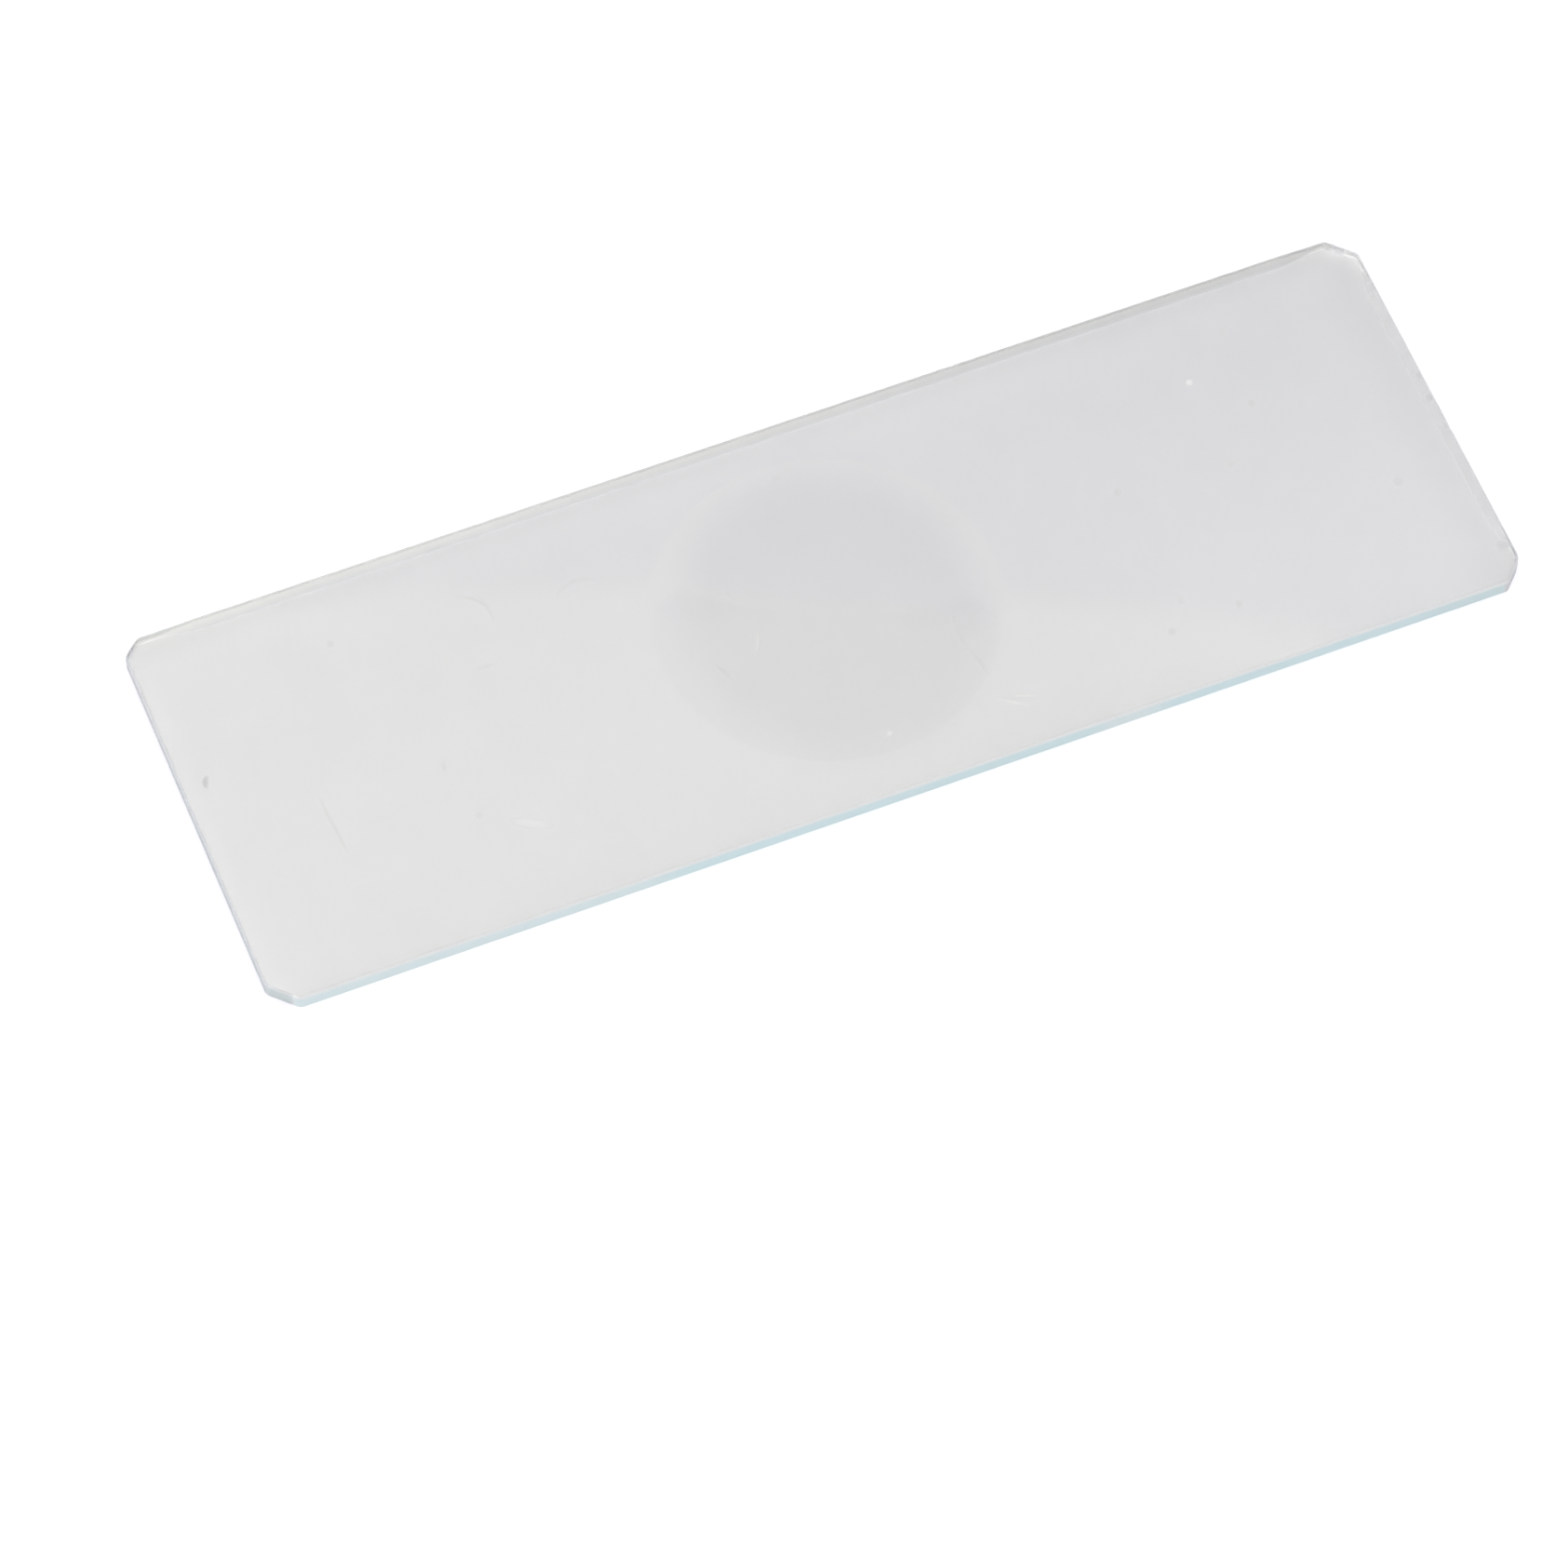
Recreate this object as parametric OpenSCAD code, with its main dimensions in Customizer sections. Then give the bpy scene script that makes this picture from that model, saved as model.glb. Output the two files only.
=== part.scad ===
// Cavity slide: a plate of clear glass with one shallow round cavity ground into the middle
// of its top face. Its corners are clipped, and a fine arris runs along every edge.
// The plate lies on the XY plane, its length along X and its width along Y. The origin is the
// centre of the bottom face, and the cavity opens upwards.

/* [Plate] */
// Length of the plate
plate_length = 76.2; // [70:0.1:80]
// Width of the plate
plate_width = 25.4; // [24:0.1:30]
// Thickness of the glass
plate_thickness = 1.1; // [0.9:0.05:1.5]

/* [Ground edges] */
// Leg of the clip across each corner
corner_clip = 1.4; // [0.8:0.1:3]
// How far the two ends of each clip are eased back
clip_easing = 0.06; // [0.03:0.01:0.12]
// Width of the arris along every edge
arris = 0.12; // [0.05:0.01:0.25]

/* [Cavity] */
// Diameter where the lip runs out into the top face
cavity_diameter = 20.6; // [14:0.1:21]
// Depth at the middle
cavity_depth = 0.5; // [0.2:0.05:0.6]
// Radius of the rounded lip between the dish and the top face
lip_radius = 20; // [5:1:30]
// Angle at which the lip meets the dish and the top face, in degrees
lip_angle = 0.5; // [0.3:0.1:1]

/* [Hidden] */

glass = [0.86, 0.89, 0.9, 0.6];
overshoot = 1;
ball_facets = 360;
ring_facets = 180;
arc_facets = 1440;

// The outline has 8 pairs of parallel sides: ends, long edges, clips and the easings between.
side_pairs = 8;
side_turn = 180 / side_pairs;

// Centre of the lip's arc, which passes through the cavity's edge at the lip angle.
lip_out = cavity_diameter / 2 + lip_radius * sin(lip_angle);
lip_down = lip_radius * cos(lip_angle);

// Radius of the ball that is ground in to the full depth and meets the arc at the same angle.
lip_reach = pow(lip_out, 2) + pow(lip_down - cavity_depth, 2) - pow(lip_radius, 2);
dish_radius = lip_reach / (2 * cavity_depth);

// The dish gives way to the lip on the line between the two centres.
centres_up = dish_radius - cavity_depth + lip_down;
dish_edge = lip_out * dish_radius / norm([lip_out, centres_up]);

// Distance from the centre to the furthest point of the clipped outline, looking along turn.
function half_width(turn) =
    let (along = abs(cos(turn)), across = abs(sin(turn)))
    max(plate_length / 2 * along + (plate_width / 2 - corner_clip) * across,
        (plate_length / 2 - corner_clip) * along + plate_width / 2 * across);

// The plate's cross-section between two parallel sides, with the arris at its four corners.
module band_section(half) {
    polygon([
        [arris - half, 0],
        [half - arris, 0],
        [half, arris],
        [half, plate_thickness - arris],
        [half - arris, plate_thickness],
        [arris - half, plate_thickness],
        [-half, plate_thickness - arris],
        [-half, arris]
    ]);
}

// A bar of that section, long enough to cross the whole plate, with its sides facing turn.
module band(half, turn) {
    rotate([90, 0, turn])
        linear_extrude(height = 2 * plate_length, center = true)
            band_section(half);
}

// The plate is where the bars of all the side pairs overlap, so every arris is mitred.
module plate_blank() {
    intersection_for (pair = [0 : side_pairs - 1]) {
        turn = pair * side_turn;
        eased = (pair % 2) * clip_easing;
        band(half_width(turn) - eased, turn);
    }
}

// The ball that leaves the dished floor.
module dish() {
    translate([0, 0, plate_thickness - cavity_depth + dish_radius])
        sphere(r = dish_radius, $fn = ball_facets);
}

// The ring of glass taken off above the lip's arc, from the dish out to the cavity's edge.
module lip() {
    rotate_extrude($fn = ring_facets)
        difference() {
            translate([dish_edge, plate_thickness - cavity_depth])
                square([cavity_diameter / 2 - dish_edge, cavity_depth + overshoot]);
            translate([lip_out, plate_thickness - lip_down])
                circle(r = lip_radius, $fn = arc_facets);
        }
}

module glass_slide() {
    color(glass)
        difference() {
            plate_blank();
            dish();
            lip();
        }
}

glass_slide();
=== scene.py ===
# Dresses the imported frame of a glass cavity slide: the glass, the dust on it, the table and the light.
import math
import bpy
import numpy as np
from mathutils import Matrix, Vector


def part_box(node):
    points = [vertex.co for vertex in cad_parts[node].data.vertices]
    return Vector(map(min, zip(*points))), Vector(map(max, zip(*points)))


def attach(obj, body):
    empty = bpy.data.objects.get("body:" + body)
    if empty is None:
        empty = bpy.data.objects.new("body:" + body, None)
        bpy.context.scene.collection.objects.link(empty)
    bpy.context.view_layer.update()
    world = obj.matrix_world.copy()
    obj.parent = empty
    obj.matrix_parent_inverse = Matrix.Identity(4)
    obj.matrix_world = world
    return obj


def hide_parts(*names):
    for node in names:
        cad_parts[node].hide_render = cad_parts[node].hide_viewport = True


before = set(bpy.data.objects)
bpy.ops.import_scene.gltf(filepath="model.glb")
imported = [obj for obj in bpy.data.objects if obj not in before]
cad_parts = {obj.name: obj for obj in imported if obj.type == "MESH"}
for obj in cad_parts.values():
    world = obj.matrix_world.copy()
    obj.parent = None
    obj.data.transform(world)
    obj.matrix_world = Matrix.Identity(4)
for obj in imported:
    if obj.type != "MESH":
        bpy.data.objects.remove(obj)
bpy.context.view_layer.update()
scene = bpy.context.scene
mm = 0.001
print("frame loaded:", sorted(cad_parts))

# The camera looks down on the slide from the front left, through a long lens.
cameraSetup = {
    "azimuth": -23.26,  # degrees round from the front
    "elevation": 59.48,  # degrees above the table
    "roll": 1.35,  # degrees, tips the right end up
    "distance": 455.85 * mm,
    "lookAt": (-6.35 * mm, -9.21 * mm, 0),
    "lens": 186.08,
    "sensor": 36.0,
}


def makeCamera(setup):
    data = bpy.data.cameras.new("camera")
    data.sensor_width = setup["sensor"]
    data.lens = setup["lens"]
    data.clip_start = 0.01
    data.clip_end = 20
    camera = bpy.data.objects.new("camera", data)
    scene.collection.objects.link(camera)
    around = math.radians(setup["azimuth"])
    above = math.radians(setup["elevation"])
    back = Vector((math.sin(around) * math.cos(above), -math.cos(around) * math.cos(above), math.sin(above)))
    aim = (-back).to_track_quat("-Z", "Y").to_matrix().to_4x4()
    roll = Matrix.Rotation(math.radians(setup["roll"]), 4, "Z")
    camera.matrix_world = Matrix.Translation(Vector(setup["lookAt"]) + back * setup["distance"]) @ aim @ roll
    scene.camera = camera


makeCamera(cameraSetup)
print("camera made")


# Links nodes by name, so that a material reads as a list of its steps.
class Nodes:
    def __init__(self, tree):
        self.tree = tree
        tree.nodes.clear()

    def add(self, kind, inputs=None, **settings):
        node = self.tree.nodes.new(kind)
        for name, value in settings.items():
            setattr(node, name, value)
        for name, value in (inputs or {}).items():
            if isinstance(value, bpy.types.NodeSocket):
                self.tree.links.new(value, node.inputs[name])
            else:
                node.inputs[name].default_value = value
        return node

    def math(self, operation, first, second=0.0, third=0.0, **settings):
        inputs = {0: first, 1: second, 2: third}
        return self.add("ShaderNodeMath", inputs, operation=operation, **settings).outputs[0]

    def step(self, value, start, end):
        return self.add("ShaderNodeMapRange", {"Value": value, "From Min": start, "From Max": end},
                        interpolation_type="SMOOTHSTEP").outputs[0]

    # Colours at places in millimetres, and the blends between them.
    def ramp(self, place, colours):
        start, end = min(colours), max(colours)
        inputs = {"Value": place, "From Min": start * mm, "From Max": end * mm}
        share = self.add("ShaderNodeMapRange", inputs).outputs[0]
        node = self.add("ShaderNodeValToRGB", {"Fac": share})
        stops = node.color_ramp.elements
        while len(stops) < len(colours):
            stops.new(0.5)
        for stop, (at, colour) in zip(stops, sorted(colours.items())):
            stop.position = (at - start) / (end - start)
            stop.color = colour
        return node.outputs[0]

    def mix(self, share, first, second):
        return self.add("ShaderNodeMix", {0: share, 6: first, 7: second}, data_type="RGBA").outputs[2]


slideShape = {
    # leg of the clip across each corner: right rear, left rear, left front, right front
    "cornerClips": np.array([1.5, 1.0, 1.5, 1.27]) * mm,
    # radii that ease the two ends of each of those clips, in the same order round the slide
    "cornerRounds": np.array([[0.4, 0.4], [0.6, 0.6], [0.6, 0.6], [0.3, 1.3]]) * mm,
    "roundSteps": 4,  # facets in each of those rounds
    "arris": 0.12 * mm,
    "rearBevel": 2.8,  # the arris below the rear edge is this much wider again
    "rightBevel": 2.8,  # and the one below the right end
    "rearThinning": 0.4,  # share by which the arris above the rear edge is finer
    "cornerZone": (2.4 * mm, 4.2 * mm),  # these three changes fade out this near to a corner
    "arrisWander": 0.12,  # share by which the hand-ground arris widens and narrows
    "arrisWaves": 260,  # fewer waves than this go round the slide, so it sets the finest of them
    "arrisSeed": 7,
    "edgeStep": 0.45 * mm,  # spacing of the points along the edges
    "wallRings": 3,
    "cavityDiameter": 20.6 * mm,
    "cavityDepth": 0.5 * mm,
    "lipRadius": 20 * mm,
    "dishRings": 22,
    "lipRings": 12,
    "faceRings": 8,
    "sharpAngle": 22.0,  # degrees, edges sharper than this stay crisp
}


# Sides of the rounded outline: turn is the way each side faces, reach its distance from the middle.
# A round's facets touch a circle about the point where its two sides cross once drawn in by the radius.
def outlineSides(length, width, shape):
    turn = np.arange(8) * math.pi / 4
    clips = np.repeat(shape["cornerClips"], 2)
    clipReach = (length / 2 + width / 2 - clips) / math.sqrt(2)
    reach = np.where(np.arange(8) % 2, clipReach, np.where(np.arange(8) % 4, width / 2, length / 2))
    rounds = shape["cornerRounds"].ravel()
    centres = outlineCorners(turn, reach, rounds)
    steps = np.arange(shape["roundSteps"] + 1) / (shape["roundSteps"] + 1)
    turns = turn[:, None] + steps[None, :] * math.pi / 4
    facing = np.stack([np.cos(turns), np.sin(turns)], axis=-1)
    reaches = (facing * centres[:, None, :]).sum(axis=-1) + rounds[:, None]
    return turns.ravel(), reaches.ravel()


# Corner k is where side k crosses side k + 1, once both are drawn in by the inset.
def outlineCorners(turn, reach, inset=0):
    nextTurn, nextReach = np.roll(turn, -1), np.roll(reach, -1) - inset
    reach = reach - inset
    across = np.sin(nextTurn - turn)
    x = (reach * np.sin(nextTurn) - nextReach * np.sin(turn)) / across
    y = (nextReach * np.cos(turn) - reach * np.cos(nextTurn)) / across
    return np.stack([x, y], axis=-1)


# Points along the outline, each a share of the way along its side, and how each moves for a unit of inset.
def outlinePoints(turn, reach, step):
    ends = outlineCorners(turn, reach)
    starts = np.roll(ends, 1, axis=0)
    counts = np.maximum(1, np.round(np.linalg.norm(ends - starts, axis=1) / step).astype(int))
    side = np.repeat(np.arange(len(turn)), counts)
    share = (np.arange(len(side)) - np.repeat(np.cumsum(counts) - counts, counts)) / counts[side]
    inEnds = outlineCorners(turn, reach, 1)
    inStarts = np.roll(inEnds, 1, axis=0)
    outer = starts[side] + share[:, None] * (ends - starts)[side]
    inner = inStarts[side] + share[:, None] * (inEnds - inStarts)[side]
    return outer, inner - outer


# Height of the cavity at a radius: a ball's floor, then the lip's arc that it touches, out to the flat face.
def cavityHeight(radius, top, shape):
    rim = shape["cavityDiameter"] / 2
    lip = shape["lipRadius"]
    ball = (rim ** 2 + shape["cavityDepth"] ** 2) / (2 * shape["cavityDepth"]) - lip
    edge = rim * ball / (ball + lip)
    dish = top - shape["cavityDepth"] + ball - np.sqrt(ball ** 2 - np.minimum(radius, edge) ** 2)
    rounded = top - lip + np.sqrt(lip ** 2 - np.clip(rim - radius, 0, None) ** 2)
    return np.where(radius < edge, dish, rounded), edge


# Smooth random wandering between -1 and 1 along a closed ring: a sum of waves of random phase.
def wander(count, waves, seed, terms=60):
    rng = np.random.default_rng(seed)
    along = np.linspace(0, 2 * math.pi, count, endpoint=False)
    number = rng.integers(waves // 6, waves, terms)
    phase = rng.uniform(0, 2 * math.pi, terms)
    total = np.sin(along[:, None] * number[None, :] + phase[None, :]).sum(axis=1)
    return total / np.abs(total).max()


def ringPoints(flat, height):
    return np.column_stack([flat, np.broadcast_to(height, len(flat))])


# Quads between rings that follow one another, and a fan of triangles to the pole at each end.
def ringFaces(rings, count):
    start = 1 + np.arange(rings - 1)[:, None] * count
    here = np.arange(count)[None, :]
    after = (np.arange(count)[None, :] + 1) % count
    quads = np.stack([start + here, start + after, start + count + after, start + count + here], axis=-1)
    last = 1 + (rings - 1) * count
    firstFan = np.stack([np.zeros(count, int), after[0] + 1, here[0] + 1], axis=-1)
    lastFan = np.stack([np.full(count, last + count), last + here[0], last + after[0]], axis=-1)
    return quads.reshape(-1, 4), firstFan, lastFan


def buildMesh(name, points, faces):
    mesh = bpy.data.meshes.new(name)
    mesh.from_pydata(points.tolist(), [], [face for group in faces for face in group.tolist()])
    mesh.update()
    piece = bpy.data.objects.new(name, mesh)
    scene.collection.objects.link(piece)
    return piece


# Sets a face attribute to 1 on a run of faces, so that the material can tell them apart.
def markFaces(piece, name, first, last):
    mark = piece.data.attributes.get(name) or piece.data.attributes.new(name, "FLOAT", "FACE")
    values = np.zeros(len(piece.data.polygons), np.float32)
    mark.data.foreach_get("value", values)
    values[first:last] = 1
    mark.data.foreach_set("value", values)


# The whole surface as rings round the slide: out over the bottom face, up the edge, in over the top face
# and down the cavity. The first and last ring close on a pole.
def makeGlass(low, high, shape):
    turn, reach = outlineSides(high.x - low.x, high.y - low.y, shape)
    outer, inset = outlinePoints(turn, reach, shape["edgeStep"])
    count = len(outer)
    waves, seed = shape["arrisWaves"], shape["arrisSeed"]
    wide = shape["arris"] * (1 + shape["arrisWander"] * wander(count, waves, seed))
    narrow = shape["arris"] * (1 + shape["arrisWander"] * wander(count, waves, seed + 1))
    nearest, farthest = shape["cornerZone"]
    room = np.array([high.x - low.x, high.y - low.y]) / 2 - np.abs(outer)
    facingRear = np.clip(-inset[:, 1], 0, 1) * np.clip((room[:, 0] - nearest) / (farthest - nearest), 0, 1)
    facingRight = np.clip(-inset[:, 0], 0, 1) * np.clip((room[:, 1] - nearest) / (farthest - nearest), 0, 1)
    narrow = narrow * (1 + shape["rearBevel"] * facingRear + shape["rightBevel"] * facingRight)
    wide = wide * (1 - shape["rearThinning"] * facingRear)
    bottomEdge = outer + inset * narrow[:, None]
    topEdge = outer + inset * wide[:, None]
    angle = np.arctan2(outer[:, 1], outer[:, 0])
    circle = np.stack([np.cos(angle), np.sin(angle)], axis=-1)
    rim = shape["cavityDiameter"] / 2
    rings = []
    for share in np.linspace(0, 1, shape["faceRings"] + 1)[1:]:
        rings.append(ringPoints(bottomEdge * share, low.z))
    firstWall = len(rings)
    for share in np.linspace(0, 1, shape["wallRings"]):
        rings.append(ringPoints(outer, (low.z + narrow) * (1 - share) + (high.z - wide) * share))
    lastWall = len(rings)
    for share in np.linspace(0, 1, shape["faceRings"] + 1)[:-1]:
        rings.append(ringPoints(topEdge * (1 - share) + circle * rim * share, high.z))
    edge = cavityHeight(np.zeros(1), high.z, shape)[1]
    radii = np.concatenate([
        np.linspace(rim, edge, shape["lipRings"], endpoint=False),
        np.linspace(edge, 0, shape["dishRings"], endpoint=False),
    ])
    for radius, height in zip(radii, cavityHeight(radii, high.z, shape)[0]):
        rings.append(ringPoints(circle * radius, height))
    floor = cavityHeight(np.zeros(1), high.z, shape)[0][0]
    points = np.concatenate([[[0, 0, low.z]], *rings, [[0, 0, floor]]])
    quads, bottomFan, topFan = ringFaces(len(rings), count)
    piece = buildMesh("cavity_slide", points, [quads, bottomFan, topFan])
    markFaces(piece, "ground", (firstWall - 1) * count, lastWall * count)
    markFaces(piece, "topArris", (lastWall - 1) * count, lastWall * count)
    piece.data.shade_smooth()
    piece.data.set_sharp_from_angle(angle=math.radians(shape["sharpAngle"]))
    return piece


glassLook = {
    "ior": 1.52,
    "tint": (0.705, 0.708, 0.705, 1),  # what a crossing of the plate lets through
    "shadowTint": (0.84, 0.84, 0.84, 1),  # what its shadow keeps of the light
    "longTint": (0.42, 0.80, 0.86, 1),  # what a long way through the glass lets through
    "longDensity": 14.0,  # per metre
    "haze": 0.02,  # share by which the tint wanders, and how finely
    "hazeScale": 400.0,
    "paintedShading": -1.8,  # painted shade: the right half deepens by this share a metre, front to rear, standing in for the light and reflections at this view
    "paintedShadingSpan": (10 * mm, 26 * mm),  # where that sets in, along X
    "paintedShadingAbout": 6 * mm,  # and leaves the tint alone here along Y
    # the cavity: over the dish's real form, painted shade makes the tint greyer here, and its front and rear
    # halves differ by a painted reflection of the ceiling's rim
    "frontCavityPaintedShade": (0.680, 0.684, 0.678, 1),
    "rearCavityPaintedShade": (0.671, 0.675, 0.680, 1),
    "cavityAt": 0.5 * mm,  # middle of its tone, along X
    "cavityHalf": (8.5 * mm, 9.85 * mm),  # where that tone is half gone, along X and along Y
    "cavitySoftness": 0.40,  # share of those over which it fades
    "halvesLine": (-0.505, 1.04 * mm),  # the painted reflection's front and rear meet on a line: its slope, and its Y at the middle
    "halvesSoftness": 0.8 * mm,
    # painted shade and painted light on the tint near the rear edge and the right end
    "rimPaintedShade": 0.953,  # painted shade deepens it this far
    "rearRim": (10.5 * mm, 12.4 * mm),  # where it does so, along Y
    "rightRim": (34.0 * mm, 38.2 * mm),  # and along X
    "rearLip": (12.49 * mm, 12.54 * mm),  # just above those two walls painted light makes it lighter
    "rightLip": (37.965 * mm, 37.99 * mm),
    "lipPaintedLight": 0.28,  # by this share
    # the dust
    "upperAbove": 0.3 * mm,  # it lies on the upper face, above this height
    "markTint": (0.845, 0.845, 0.79),  # turns the tint into the colour that can't be told from the glass
    "faintest": 0.03,  # pale marks start where they are paler than this
    # the ground edges
    "groundRoughness": 0.7,
    "grainScale": 9000.0,
    "grainDepth": 0.02 * mm,
    "grainStrength": 0.25,
    "frostRoughness": 0.8,
    "wallFrost": 0.7,  # how much of a wall is pale frost, and not clear glass
    "arrisFrost": 0.9,
    "rearFade": (12.22 * mm, 12.52 * mm),  # frost fades in over the bevel below the rear edge, along Y
    "rightFade": (37.45 * mm, 37.58 * mm),  # and over the one below the right end, along X
    "endSpan": (37.3 * mm, 37.6 * mm),  # where the two ends start, along X
    "leftFrost": 0.12,  # share of the frost that the left end keeps
    "rightFrost": 0.7,  # and the right end
    "leftWallPaintedTint": (0.70, 0.72, 0.735, 1),  # what the left end's wall lets through; the two ends differ as painted light and shade
    "rightWallPaintedTint": (0.90, 0.90, 0.91, 1),  # and the right end's, lighter as painted light
    "leftFrostPaintedLight": (0.87, 0.87, 0.82, 1),  # the frost of the rear wall and the left end, lighter as painted light
    "rightFrostPaintedShade": (0.70, 0.70, 0.66, 1),  # and of the rear wall towards the right, darker as painted shade
    "sideSpan": (-20 * mm, 26 * mm),  # where the one gives way to the other, along X
    "endFrostPaintedShade": (0.81, 0.803, 0.768, 1),  # the frost of the right end, with painted shade
    "cornerFrostPaintedLight": (0.90, 0.895, 0.855, 1),  # the same towards its rear corner, lighter as painted light
    "cornerSpan": (7.8 * mm, 9.4 * mm),  # where that comes in, along Y
    "frontSpan": (-12.3 * mm, -12.55 * mm),  # where the front wall's frost comes in, along Y
    # the front wall's frost, by its place along X: cyan like a long way through the glass, with painted
    # light and shade that vary along X
    "frontFrostAndPaintedShades": {
        -20: (0.62, 0.725, 0.69, 1), -16: (0.62, 0.73, 0.69, 1), -13.5: (0.555, 0.715, 0.685, 1),
        10.8: (0.555, 0.70, 0.67, 1), 12.2: (0.625, 0.72, 0.68, 1), 14.5: (0.625, 0.72, 0.68, 1),
        16.0: (0.56, 0.705, 0.68, 1), 29: (0.56, 0.70, 0.675, 1), 32: (0.545, 0.675, 0.645, 1),
        37: (0.53, 0.655, 0.62, 1),
    },
    "clipFrostPaintedShade": (0.56, 0.57, 0.535, 1),  # the frost of the clip across the right front corner, darker as painted shade
    "clipSpan": (49.2 * mm, 49.4 * mm),  # where that starts, along X - Y
    # the arrises' frost as lit and shaded copies: painted shade at the front and the ends, painted light at
    # the rear
    "frontArrisPaintedShade": (0.59, 0.60, 0.56, 1),
    "frontArrisPaintedShadeSpan": (46 * mm, 49 * mm),  # where the right end's arris takes the front's painted shade, along X - Y
    "rearArrisPaintedLight": (0.97, 0.97, 0.912, 1),
    "endArrisPaintedShade": (0.77, 0.77, 0.73, 1),
}


# Fibres and smears on the upper face: where each lies in millimetres, the way it runs, how far it reaches
# along and across, and the share by which it's paler or darker than the glass round it. One with a bend
# curves that far to a side a millimetre from its middle.
fibres = {
    "rearLeft": {"at": (-18.05, 7.6), "turn": -60, "half": (1.4, 0.12), "bend": -0.33, "change": -0.042},
    "rear": {"at": (-12.75, 7.0), "turn": 5, "half": (1.3, 0.13), "bend": -0.30, "change": -0.035},
    "cavityRearNick": {"at": (-4.6, 2.9), "turn": -61, "half": (0.55, 0.14), "change": -0.049},
    "cavityHair": {"at": (-4.4, -0.4), "turn": -118, "half": (1.2, 0.14), "bend": -0.12, "change": 0.05},
    "cavityLeftNick": {"at": (-6.9, -1.7), "turn": -67, "half": (0.74, 0.11), "change": -0.035},
    "lipRear": {"at": (6.45, -4.2), "turn": -94, "half": (1.3, 0.13), "change": -0.042},
    "lipFront": {"at": (6.75, -6.4), "turn": -80, "half": (1.1, 0.13), "bend": -0.08, "change": -0.049},
    "longScratch": {"at": (-31.0, -3.0), "turn": -86, "half": (2.0, 0.10), "change": -0.03},
    "leftNick": {"at": (-19.4, 3.55), "turn": -2, "half": (0.55, 0.12), "change": -0.035},
    "leftCrumb": {"at": (-23.9, -1.7), "turn": 80, "half": (0.37, 0.15), "change": -0.035},
    "frontStreak": {"at": (7.4, -9.6), "turn": -36, "half": (1.4, 0.16), "change": 0.052},
    "frontStreakBeside": {"at": (8.3, -9.5), "turn": -22, "half": (1.2, 0.15), "change": 0.048},
    "smear": {"at": (-20.67, -6.95), "turn": -31, "half": (1.7, 0.42), "change": 0.075},
    "leftEndCrumb": {"at": (-36.7, 2.3), "turn": 68, "half": (0.46, 0.19), "bend": -0.5, "change": -0.20},
}
# Specks of dust: where each lies in millimetres, its radius, and how much paler or darker it is.
specks = {
    "whiteRight": {"at": (25.3, 6.5), "radius": 0.27, "change": 0.24},
    "whiteFront": {"at": (0.18, -8.9), "radius": 0.24, "change": 0.15},
    "whiteCavity": {"at": (2.48, -2.1), "radius": 0.24, "change": 0.05},
    "right": {"at": (28.1, 3.85), "radius": 0.28, "change": -0.110},
    "rightEnd": {"at": (33.76, -4.17), "radius": 0.30, "change": -0.082},
    "middle": {"at": (18.47, 1.11), "radius": 0.25, "change": -0.091},
    "rear": {"at": (28.48, 9.06), "radius": 0.21, "change": -0.073},
    "front": {"at": (21.94, -8.37), "radius": 0.28, "change": -0.109},
    "frontLeft": {"at": (17.65, -8.67), "radius": 0.25, "change": -0.091},
    "frontBehind": {"at": (18.95, -6.97), "radius": 0.21, "change": -0.073},
    "rightMiddle": {"at": (25.33, 0.44), "radius": 0.22, "change": -0.073},
    "rightRear": {"at": (30.81, 2.73), "radius": 0.26, "change": -0.073},
    "leftRear": {"at": (-27.0, 8.2), "radius": 0.21, "change": -0.064},
    "leftFront": {"at": (-23.2, -5.4), "radius": 0.21, "change": -0.064},
    "cavityRear": {"at": (0.6, 9.16), "radius": 0.25, "change": -0.082},
    "chip": {"at": (37.9, 2.05), "radius": 0.26, "change": -0.11},
    "chipBeside": {"at": (37.88, 0.4), "radius": 0.29, "change": -0.13},
    "chipFront": {"at": (37.93, -1.7), "radius": 0.22, "change": -0.08},
    "cornerSmudge": {"at": (37.5, -10.35), "radius": 0.4, "change": -0.09},
}


# A soft mask along a parabola: 1 in the fibre's middle, 0 outside it. Flat is the place with 1 for its
# height, so that a dot product with it can also shift.
def fibreMask(nodes, flat, fibre):
    x, y = fibre["at"]
    turn = math.radians(fibre["turn"])
    reaches = []
    for angle, half in zip((turn, turn + math.pi / 2), fibre["half"]):
        cosine, sine = math.cos(angle), math.sin(angle)
        facing = Vector((cosine / mm, sine / mm, -x * cosine - y * sine))
        reach = nodes.add("ShaderNodeVectorMath", {0: flat, 1: facing / half}, operation="DOT_PRODUCT")
        reaches.append(reach.outputs["Value"])
    along, across = reaches
    squared = nodes.math("MULTIPLY", along, along)
    if "bend" in fibre:
        bend = fibre["bend"] * fibre["half"][0] ** 2 / fibre["half"][1]
        across = nodes.math("MULTIPLY_ADD", squared, -bend, across)
    return nodes.math("SUBTRACT", 1.0, nodes.math("MULTIPLY_ADD", across, across, squared), use_clamp=True)


def speckMask(nodes, flat, speck):
    centre = (speck["at"][0] * mm, speck["at"][1] * mm, 1)
    away = nodes.add("ShaderNodeVectorMath", {0: flat, 1: centre}, operation="DISTANCE").outputs["Value"]
    return nodes.math("MULTIPLY_ADD", away, -1 / (speck["radius"] * mm), 1.0, use_clamp=True)


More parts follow.
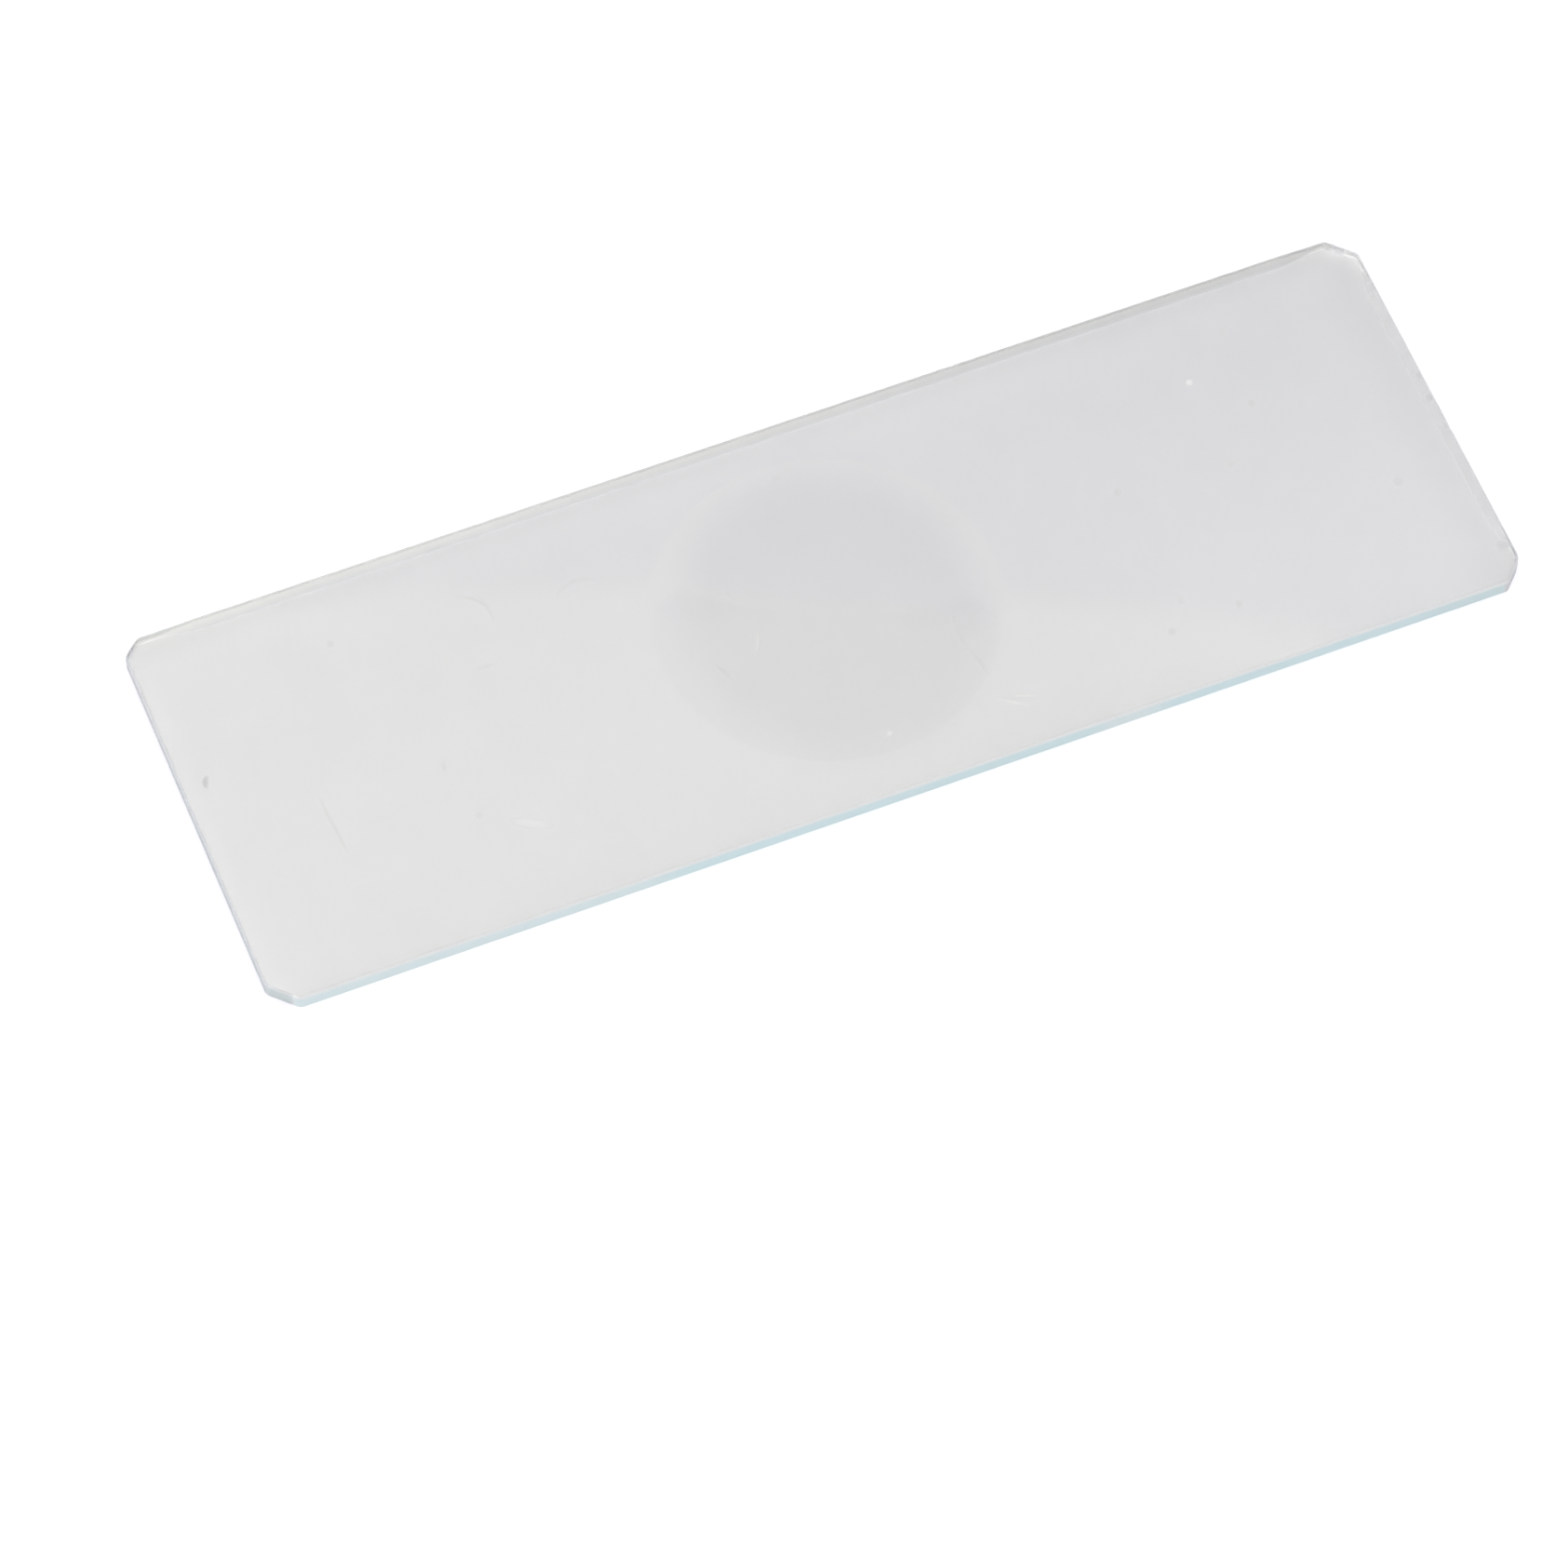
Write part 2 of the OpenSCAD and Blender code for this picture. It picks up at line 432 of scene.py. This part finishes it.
# By how much the fibres and specks make a place paler or darker.
def markedChange(nodes, place):
    inputs = {0: place, 1: (1, 1, 0), 2: (0, 0, 1)}
    flat = nodes.add("ShaderNodeVectorMath", inputs, operation="MULTIPLY_ADD").outputs[0]
    total = 0.0
    for marks, makeMask in ((fibres, fibreMask), (specks, speckMask)):
        for mark in marks.values():
            total = nodes.math("MULTIPLY_ADD", makeMask(nodes, flat, mark), mark["change"], total)
    return total


def clearGlass(nodes, look, tint, **inputs):
    return nodes.add("ShaderNodeBsdfPrincipled", {
        "Base Color": tint, "Roughness": 0.0, "IOR": look["ior"], "Transmission Weight": 1.0, **inputs,
    }).outputs[0]


# What a crossing of the plate lets through, with painted light and shade in it: darker in the cavity, with a
# painted reflection across it, and graded towards the edges.
def glassTint(nodes, look, place, x, y):
    # painted shade in the cavity, and a painted reflection of the ceiling's rim across it
    oval = nodes.add("ShaderNodeCombineXYZ", {
        "X": nodes.math("DIVIDE", nodes.math("SUBTRACT", x, look["cavityAt"]), look["cavityHalf"][0]),
        "Y": nodes.math("DIVIDE", y, look["cavityHalf"][1]),
    }).outputs[0]
    radius = nodes.add("ShaderNodeVectorMath", {0: oval}, operation="LENGTH").outputs["Value"]
    inCavity = nodes.step(radius, 1 + look["cavitySoftness"] / 2, 1 - look["cavitySoftness"] / 2)
    slope, start = look["halvesLine"]
    behind = nodes.math("SUBTRACT", nodes.math("SUBTRACT", y, start), nodes.math("MULTIPLY", x, slope))
    inRear = nodes.step(behind, -look["halvesSoftness"] / 2, look["halvesSoftness"] / 2)
    cavityPaintedShade = nodes.mix(inRear, look["frontCavityPaintedShade"], look["rearCavityPaintedShade"])
    tint = nodes.mix(inCavity, look["tint"], cavityPaintedShade)
    # painted shade: darker near the rear edge and the right end
    nearRim = nodes.math("MAXIMUM", nodes.step(y, *look["rearRim"]), nodes.step(x, *look["rightRim"]))
    tone = nodes.math("SUBTRACT", 1.0, nodes.math("MULTIPLY", nearRim, 1 - look["rimPaintedShade"]))
    # painted light: lighter just above the rear wall and the right end
    onRear = nodes.math("MULTIPLY", nodes.step(y, *look["rearLip"]), look["lipPaintedLight"])
    onRight = nodes.math("MULTIPLY", nodes.step(x, *look["rightLip"]), look["lipPaintedLight"])
    # painted shade: the tint darkens towards the rear on the right half, standing in for light and
    # reflection
    paintedShading = nodes.math("MULTIPLY", nodes.step(x, *look["paintedShadingSpan"]), look["paintedShading"])
    paintedShading = nodes.math("MULTIPLY", nodes.math("SUBTRACT", y, look["paintedShadingAbout"]), paintedShading)
    noise = nodes.add("ShaderNodeTexNoise", {"Vector": place, "Scale": look["hazeScale"], "Detail": 2.0})
    haze = nodes.math("MULTIPLY", nodes.math("SUBTRACT", noise.outputs["Fac"], 0.5), look["haze"])
    for change in (onRear, onRight, paintedShading, haze):
        tone = nodes.math("ADD", tone, change)
    return nodes.add("ShaderNodeVectorMath", {0: tint, "Scale": tone}, operation="SCALE").outputs[0]


# The upper face: clear glass with dust on it. A mark is a dull colour under the same shine as the glass.
def upperFace(nodes, look, place, tint):
    change = markedChange(nodes, place)
    fromOutside = nodes.math("SUBTRACT", 1.0, nodes.add("ShaderNodeNewGeometry").outputs["Backfacing"])
    half = look["faintest"] / 2
    marked = nodes.math("GREATER_THAN", nodes.math("ABSOLUTE", nodes.math("SUBTRACT", change, half)), half)
    marked = nodes.math("MULTIPLY", marked, fromOutside)  # light from within passes, so marks cast no shadow
    inputs = {0: tint, 1: look["markTint"]}
    markTint = nodes.add("ShaderNodeVectorMath", inputs, operation="MULTIPLY").outputs[0]
    inputs = {0: markTint, "Scale": nodes.math("ADD", change, 1.0)}
    markColour = nodes.add("ShaderNodeVectorMath", inputs, operation="SCALE").outputs[0]
    dust = nodes.add("ShaderNodeBsdfPrincipled", {"Base Color": markColour, "Roughness": 0.0}).outputs[0]
    inputs = {0: marked, 1: clearGlass(nodes, look, tint), 2: dust}
    return nodes.add("ShaderNodeMixShader", inputs).outputs[0]


# The ground edges: rough glass, part hidden by a pale frost whose colour holds painted light and shade, set
# place by place.
def groundEdge(nodes, look, place, tint, x, y):
    arris = nodes.add("ShaderNodeAttribute", attribute_name="topArris").outputs["Fac"]
    atEnd = nodes.step(nodes.math("ABSOLUTE", x), *look["endSpan"])
    toRight = nodes.math("GREATER_THAN", x, 0.0)
    # painted light and shade: each end's wall gets its own tint
    tint = nodes.mix(atEnd, tint, nodes.mix(toRight, look["leftWallPaintedTint"], look["rightWallPaintedTint"]))
    grain = nodes.add("ShaderNodeTexNoise", {"Vector": place, "Scale": look["grainScale"], "Detail": 2.0})
    bump = nodes.add("ShaderNodeBump", {
        "Strength": look["grainStrength"], "Distance": look["grainDepth"], "Height": grain.outputs["Fac"],
    }).outputs[0]
    rough = clearGlass(nodes, look, tint, **{"Roughness": look["groundRoughness"], "Normal": bump})
    front = nodes.step(y, *look["frontSpan"])
    # painted light and shade: the rear wall's frost darkens towards the right, and the right end's lightens
    # towards its rear corner
    start, end = look["sideSpan"]
    along = nodes.add("ShaderNodeMapRange", {"Value": x, "From Min": start, "From Max": end}).outputs[0]
    sidePaintedShade = nodes.mix(along, look["leftFrostPaintedLight"], look["rightFrostPaintedShade"])
    endFrostPaintedShade = nodes.mix(nodes.step(y, *look["cornerSpan"]), look["endFrostPaintedShade"], look["cornerFrostPaintedLight"])
    sidePaintedShade = nodes.mix(nodes.math("MULTIPLY", atEnd, toRight), sidePaintedShade, endFrostPaintedShade)
    # the front wall's frost: its cyan, with painted light and shade along X
    wallColour = nodes.mix(front, sidePaintedShade, nodes.ramp(x, look["frontFrostAndPaintedShades"]))
    # painted light and shade: each arris gets a frost colour by the side it faces
    arrisPaintedShade = nodes.mix(front, nodes.mix(atEnd, look["rearArrisPaintedLight"], look["endArrisPaintedShade"]), look["frontArrisPaintedShade"])
    past = nodes.math("SUBTRACT", x, y)
    onClip = nodes.step(past, *look["clipSpan"])
    # painted shade on the clip's frost
    wallColour = nodes.mix(onClip, wallColour, look["clipFrostPaintedShade"])
    arrisPaintedShade = nodes.mix(nodes.step(past, *look["frontArrisPaintedShadeSpan"]), arrisPaintedShade, look["frontArrisPaintedShade"])
    # the frost colour, carrying the painted light and shade above
    colour = nodes.mix(arris, wallColour, arrisPaintedShade)
    frost = nodes.add("ShaderNodeBsdfPrincipled", {
        "Base Color": colour, "Roughness": look["frostRoughness"],
    }).outputs[0]
    frosted = nodes.math("ADD", look["wallFrost"],
                         nodes.math("MULTIPLY", arris, look["arrisFrost"] - look["wallFrost"]))
    lost = nodes.math("SUBTRACT", 1 - look["leftFrost"],
                      nodes.math("MULTIPLY", toRight, look["rightFrost"] - look["leftFrost"]))
    kept = nodes.math("SUBTRACT", 1.0, nodes.math("MULTIPLY", atEnd, lost))
    fade = nodes.math("MAXIMUM", nodes.step(nodes.math("ABSOLUTE", y), *look["rearFade"]),
                      nodes.step(nodes.math("ABSOLUTE", x), *look["rightFade"]))
    frosted = nodes.math("MULTIPLY", nodes.math("MULTIPLY", frosted, kept), fade)
    frosted = nodes.math("MAXIMUM", frosted, nodes.math("MULTIPLY", onClip, look["arrisFrost"]))
    return nodes.add("ShaderNodeMixShader", {0: frosted, 1: rough, 2: frost}).outputs[0]


def glassMaterial(look):
    material = bpy.data.materials.new("clear_glass")
    material.use_nodes = True
    nodes = Nodes(material.node_tree)
    place = nodes.add("ShaderNodeTexCoord").outputs["Object"]
    x, y, z = nodes.add("ShaderNodeSeparateXYZ", {"Vector": place}).outputs
    tint = glassTint(nodes, look, place, x, y)
    upper = nodes.math("GREATER_THAN", z, look["upperAbove"])
    face = nodes.add("ShaderNodeMixShader", {
        0: upper, 1: clearGlass(nodes, look, tint), 2: upperFace(nodes, look, place, tint),
    }).outputs[0]
    ground = nodes.add("ShaderNodeAttribute", attribute_name="ground").outputs["Fac"]
    solid = nodes.add("ShaderNodeMixShader", {
        0: ground, 1: face, 2: groundEdge(nodes, look, place, tint, x, y),
    }).outputs[0]
    through = nodes.add("ShaderNodeBsdfTransparent", {"Color": look["shadowTint"]}).outputs[0]
    shadowRay = nodes.add("ShaderNodeLightPath").outputs["Is Shadow Ray"]
    surface = nodes.add("ShaderNodeMixShader", {0: shadowRay, 1: solid, 2: through}).outputs[0]
    volume = nodes.add("ShaderNodeVolumeAbsorption", {
        "Color": look["longTint"], "Density": look["longDensity"],
    }).outputs[0]
    nodes.add("ShaderNodeOutputMaterial", {"Surface": surface, "Volume": volume})
    return material


low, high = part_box("glass_slide")
glass = makeGlass(low, high, slideShape)
glass.data.materials.append(glassMaterial(glassLook))
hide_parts("glass_slide")
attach(glass, "root")
print("glass made:", len(glass.data.polygons), "faces")

tableTop = {
    "size": 6.0,
    "gap": 0.02 * mm,  # keeps the table just clear of the glass
    "colour": (0.93, 0.93, 0.93, 1),
    "roughness": 0.9,
}


def makeTable(setup):
    half = setup["size"] / 2
    corners = np.array([[-half, -half, 0], [half, -half, 0], [half, half, 0], [-half, half, 0]])
    corners[:, 2] = low.z - setup["gap"]
    table = buildMesh("table", corners, [np.array([[0, 1, 2, 3]])])
    material = bpy.data.materials.new("table_white")
    material.use_nodes = True
    nodes = Nodes(material.node_tree)
    finish = nodes.add("ShaderNodeBsdfPrincipled", {
        "Base Color": setup["colour"], "Roughness": setup["roughness"], "Specular IOR Level": 0.0,
    }).outputs[0]
    nodes.add("ShaderNodeOutputMaterial", {"Surface": finish})
    table.data.materials.append(material)


makeTable(tableTop)

# A pale room, with a round soft ceiling light that covers the sky down to its rim, and a lamp to the left.
roomLight = {
    "wallColour": (0.86, 0.87, 1.08, 1),
    "wallStrength": 0.78,
    "ceilingColour": (1.0, 1.0, 0.995, 1),
    "ceilingStrength": 1.07,
    "rim": 58.1,  # degrees above the table
    "rimSoftness": 0.3,  # degrees
}
lamps = {
    "keyLeft": {
        "at": (-0.25, -0.33, 0.62),
        "aim": (0, 0, 0),
        "size": 0.32,
        "power": 2.97,
        "colour": (1.0, 0.965, 0.93),
    },
}


def makeRoom(setup):
    world = bpy.data.worlds.new("room")
    scene.world = world
    world.use_nodes = True
    world.cycles.sampling_method = "NONE"  # the room's light comes in through the glass itself
    nodes = Nodes(world.node_tree)
    direction = nodes.add("ShaderNodeTexCoord").outputs["Generated"]
    height = nodes.add("ShaderNodeSeparateXYZ", {"Vector": direction}).outputs["Z"]
    inCeiling = nodes.add("ShaderNodeMapRange", {
        "Value": height,
        "From Min": math.sin(math.radians(setup["rim"] - setup["rimSoftness"] / 2)),
        "From Max": math.sin(math.radians(setup["rim"] + setup["rimSoftness"] / 2)),
    }, interpolation_type="SMOOTHSTEP").outputs[0]
    walls = nodes.add("ShaderNodeBackground", {
        "Color": setup["wallColour"], "Strength": setup["wallStrength"],
    })
    ceiling = nodes.add("ShaderNodeBackground", {
        "Color": setup["ceilingColour"], "Strength": setup["ceilingStrength"],
    })
    light = nodes.add("ShaderNodeMixShader", {0: inCeiling, 1: walls.outputs[0], 2: ceiling.outputs[0]})
    nodes.add("ShaderNodeOutputWorld", {"Surface": light.outputs[0]})


def makeLamp(name, lamp):
    data = bpy.data.lights.new(name, "AREA")
    data.shape = "SQUARE"
    data.size = lamp["size"]
    data.energy = lamp["power"]
    data.color = lamp["colour"]
    light = bpy.data.objects.new(name, data)
    scene.collection.objects.link(light)
    at = Vector(lamp["at"])
    light.location = at
    light.rotation_euler = (Vector(lamp["aim"]) - at).to_track_quat("-Z", "Y").to_euler()
    light.visible_transmission = False  # glass lets its light through as shadow, so it isn't counted twice


makeRoom(roomLight)
for name, lamp in lamps.items():
    makeLamp(name, lamp)
scene.view_settings.view_transform = "Standard"
scene.cycles.max_bounces = 48  # light bounces many times between the faces on its way to an edge
scene.cycles.transmission_bounces = 48
scene.cycles.glossy_bounces = 48
scene.cycles.transparent_max_bounces = 16
print("light made")
